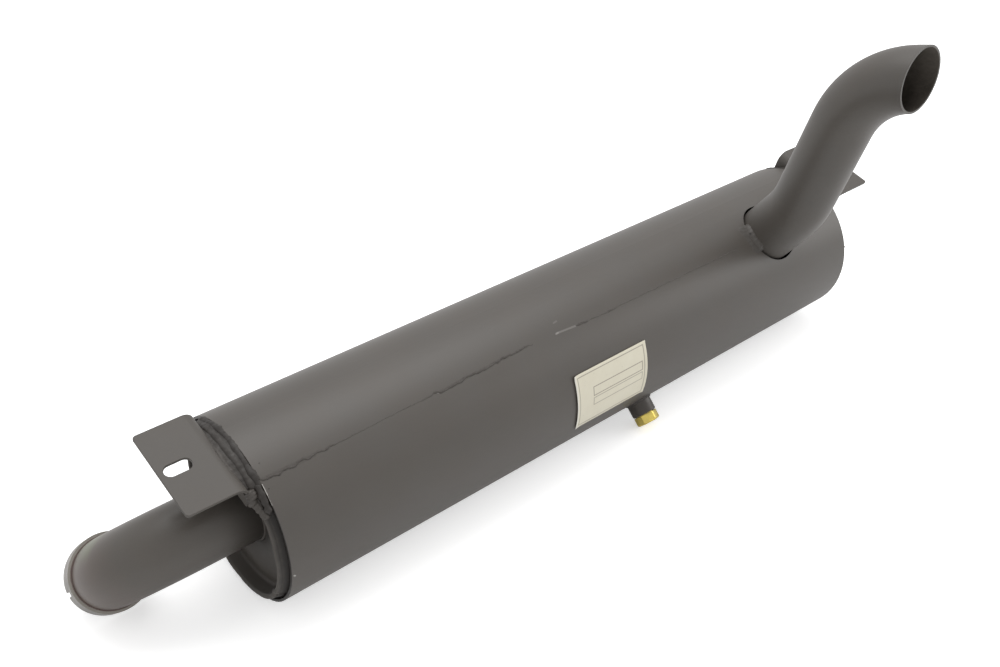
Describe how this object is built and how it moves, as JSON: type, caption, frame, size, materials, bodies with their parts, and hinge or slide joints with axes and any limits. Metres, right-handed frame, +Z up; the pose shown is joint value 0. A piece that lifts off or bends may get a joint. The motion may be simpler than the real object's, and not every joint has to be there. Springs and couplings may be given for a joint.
{
  "type": "muffler",
  "caption": "Long cylindrical engine exhaust muffler with an elbow inlet and slotted clamp collar, a raised S-bent tail pipe, slotted end brackets and a drain plug.",
  "frame": {"origin": "middle of the bottom of the whole muffler's box, on the floor that it rests on", "axes": "+X along the shell from the inlet end to the outlet end, +Z up, -Y towards the side with the drain plug, the data plate and the outlet mouth"},
  "size_m": [0.8406, 0.2434, 0.3491],
  "materials": {
    "paint": "satin warm dark grey heat-resistant paint",
    "bare_collar": "dull bare grey",
    "dark_bung": "satin near-black",
    "brass_plug": "polished",
    "label": "satin cream",
    "inner_steel": "dull stainless",
    "substrate": "matt",
    "mat": "fibrous"
  },
  "bodies": {
    "root": {"catalyst_brick": "substrate", "catalyst_can": "inner_steel", "catalyst_mat": "mat", "data_plate": "label", "diffuser_end_disc": "inner_steel", "diffuser_tube": "inner_steel", "drain_bung": "dark_bung", "drain_bung_weld": "paint", "drain_plug": "brass_plug", "front_baffle": "inner_steel", "front_partition": "inner_steel", "front_retainer": "inner_steel", "inlet_bracket": "paint", "inlet_bracket_weld": "paint", "inlet_collar": "bare_collar", "inlet_collar_weld": "paint", "inlet_end_cap": "paint", "inlet_pipe": "paint", "inlet_pipe_weld": "paint", "lower_crossover_tube": "inner_steel", "outlet_bracket": "paint", "outlet_bracket_weld": "paint", "outlet_end_cap": "paint", "outlet_pipe": "paint", "outlet_pipe_weld": "paint", "rear_baffle": "inner_steel", "rear_partition": "inner_steel", "rear_retainer": "inner_steel", "seam_weld": "paint", "shell": "paint", "upper_crossover_tube": "inner_steel"}
  },
  "joints": []
}
